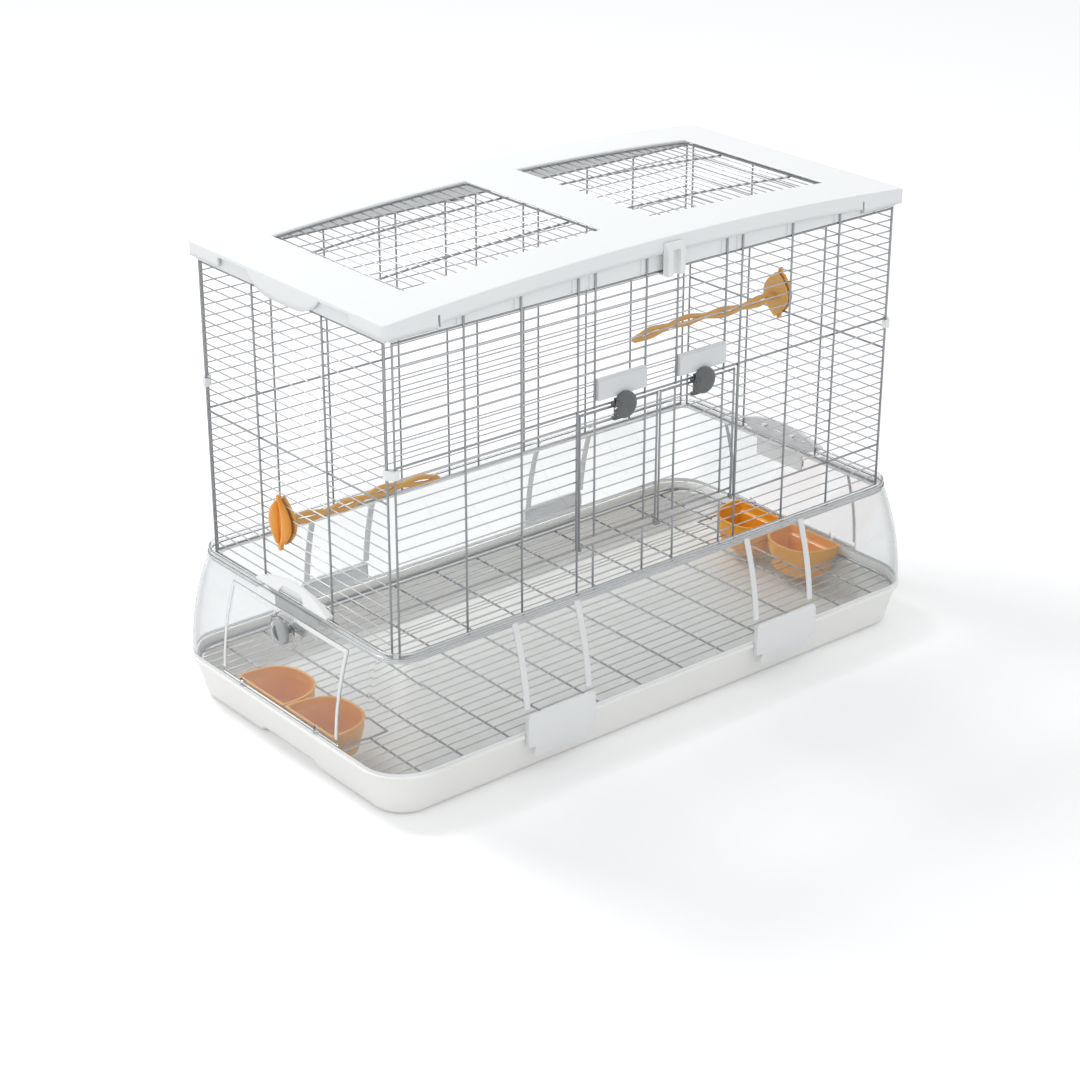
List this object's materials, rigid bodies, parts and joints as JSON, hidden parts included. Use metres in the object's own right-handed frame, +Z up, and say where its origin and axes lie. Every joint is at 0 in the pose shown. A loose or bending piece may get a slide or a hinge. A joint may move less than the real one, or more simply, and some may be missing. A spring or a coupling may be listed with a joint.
{
  "type": "wire bird cage",
  "caption": "Wire bird cage on a moulded tray with a clear debris guard, two front doors, clear side flaps with seed cups behind them, two perches and an arched roof with wire grilles",
  "frame": {"origin": "centre of the tray's underside, on the ground", "axes": "+X along the length to the right seen from the front, -Y towards the front with the doors, +Z up"},
  "size_m": [0.78, 0.424, 0.5523],
  "materials": {
    "tray_plastic": "satin moulded",
    "clear_plastic": "polished transparent",
    "wire_steel": "smooth dark grey coating",
    "roof_plastic": "satin moulded",
    "latch_plastic": "glossy moulded",
    "cup_plastic": "satin moulded",
    "perch_plastic": "satin moulded"
  },
  "bodies": {
    "cage": {"base_tray": "tray_plastic", "floor_grille": "wire_steel", "debris_guard": "clear_plastic", "wall_front": "wire_steel", "wall_back": "wire_steel", "wall_left": "wire_steel", "wall_right": "wire_steel", "front_keeper_left": "roof_plastic", "front_keeper_right": "roof_plastic", "side_keeper_left": "roof_plastic", "side_keeper_right": "roof_plastic", "perch_left": "perch_plastic", "perch_right": "perch_plastic", "corner_clip_front_right": "roof_plastic", "corner_clip_front_left": "roof_plastic", "corner_clip_back_left": "roof_plastic", "corner_clip_back_right": "roof_plastic", "roof_frame": "roof_plastic", "roof_grille_right": "wire_steel", "roof_grille_left": "wire_steel", "roof_clip_front": "roof_plastic", "roof_clip_back": "roof_plastic"},
    "door_left": {"front_door_left": "wire_steel", "latch_base_left": "latch_plastic"},
    "doorknob_left": {"door_knob_left": "latch_plastic"},
    "flap_left": {"side_flap_left": "clear_plastic"},
    "flapknob_left": {"flap_knob_left": "latch_plastic"},
    "nut_left": {"perch_nut_left": "cup_plastic"},
    "cup_left_front": {"seed_cup_left_front": "cup_plastic"},
    "cup_left_back": {"seed_cup_left_back": "cup_plastic"},
    "door_right": {"front_door_right": "wire_steel", "latch_base_right": "latch_plastic"},
    "doorknob_right": {"door_knob_right": "latch_plastic"},
    "flap_right": {"side_flap_right": "clear_plastic"},
    "flapknob_right": {"flap_knob_right": "latch_plastic"},
    "nut_right": {"perch_nut_right": "cup_plastic"},
    "cup_right_front": {"seed_cup_right_front": "cup_plastic"},
    "cup_right_back": {"seed_cup_right_back": "cup_plastic"},
    "clip_front_left": {"base_clip_front_left": "tray_plastic"},
    "clip_front_right": {"base_clip_front_right": "tray_plastic"},
    "clip_back_left": {"base_clip_back_left": "tray_plastic"},
    "clip_back_right": {"base_clip_back_right": "tray_plastic"}
  },
  "joints": [
    {"name": "door_left_swing", "type": "hinge", "parent": "cage", "child": "door_left", "pos_m": [-0.0562, -0.17, 0.227], "axis": [1, 0, 0], "range_deg": [0, 135]},
    {"name": "doorknob_left_turn", "type": "hinge", "parent": "door_left", "child": "doorknob_left", "pos_m": [-0.0562, -0.176, 0.381], "axis": [0, -1, 0], "range_deg": [0, 90]},
    {"name": "flap_left_swing", "type": "hinge", "parent": "cage", "child": "flap_left", "pos_m": [-0.38584, 0, 0.0602], "axis": [0, -1, 0], "range_deg": [0, 90]},
    {"name": "flapknob_left_turn", "type": "hinge", "parent": "flap_left", "child": "flapknob_left", "pos_m": [-0.378, 0, 0.148], "axis": [-1, 0, 0], "range_deg": [0, 90]},
    {"name": "nut_left_turn", "type": "hinge", "parent": "cage", "child": "nut_left", "pos_m": [-0.358, 0.027, 0.2595], "axis": [1, 0, 0], "range_deg": [0, 90]},
    {"name": "cup_left_front_lift", "type": "slide", "parent": "cage", "child": "cup_left_front", "axis": [0, 0, 1], "range_m": [0, 0.04]},
    {"name": "cup_left_back_lift", "type": "slide", "parent": "cage", "child": "cup_left_back", "axis": [0, 0, 1], "range_m": [0, 0.04]},
    {"name": "door_right_swing", "type": "hinge", "parent": "cage", "child": "door_right", "pos_m": [0.0562, -0.17, 0.227], "axis": [1, 0, 0], "range_deg": [0, 135]},
    {"name": "doorknob_right_turn", "type": "hinge", "parent": "door_right", "child": "doorknob_right", "pos_m": [0.0562, -0.176, 0.381], "axis": [0, -1, 0], "range_deg": [0, 90]},
    {"name": "flap_right_swing", "type": "hinge", "parent": "cage", "child": "flap_right", "pos_m": [0.38584, 0, 0.0602], "axis": [0, 1, 0], "range_deg": [0, 90]},
    {"name": "flapknob_right_turn", "type": "hinge", "parent": "flap_right", "child": "flapknob_right", "pos_m": [0.378, 0, 0.148], "axis": [1, 0, 0], "range_deg": [0, 90]},
    {"name": "nut_right_turn", "type": "hinge", "parent": "cage", "child": "nut_right", "pos_m": [0.358, 0.01, 0.3635], "axis": [1, 0, 0], "range_deg": [0, 90]},
    {"name": "cup_right_front_lift", "type": "slide", "parent": "cage", "child": "cup_right_front", "axis": [0, 0, 1], "range_m": [0, 0.04]},
    {"name": "cup_right_back_lift", "type": "slide", "parent": "cage", "child": "cup_right_back", "axis": [0, 0, 1], "range_m": [0, 0.04]},
    {"name": "clip_front_left_swing", "type": "hinge", "parent": "cage", "child": "clip_front_left", "pos_m": [-0.167, -0.2082, 0.0746], "axis": [-1, 0, 0], "range_deg": [0, 70]},
    {"name": "clip_front_right_swing", "type": "hinge", "parent": "cage", "child": "clip_front_right", "pos_m": [0.167, -0.2082, 0.0746], "axis": [-1, 0, 0], "range_deg": [0, 70]},
    {"name": "clip_back_left_swing", "type": "hinge", "parent": "cage", "child": "clip_back_left", "pos_m": [-0.167, 0.2082, 0.0746], "axis": [1, 0, 0], "range_deg": [0, 70]},
    {"name": "clip_back_right_swing", "type": "hinge", "parent": "cage", "child": "clip_back_right", "pos_m": [0.167, 0.2082, 0.0746], "axis": [1, 0, 0], "range_deg": [0, 70]}
  ]
}
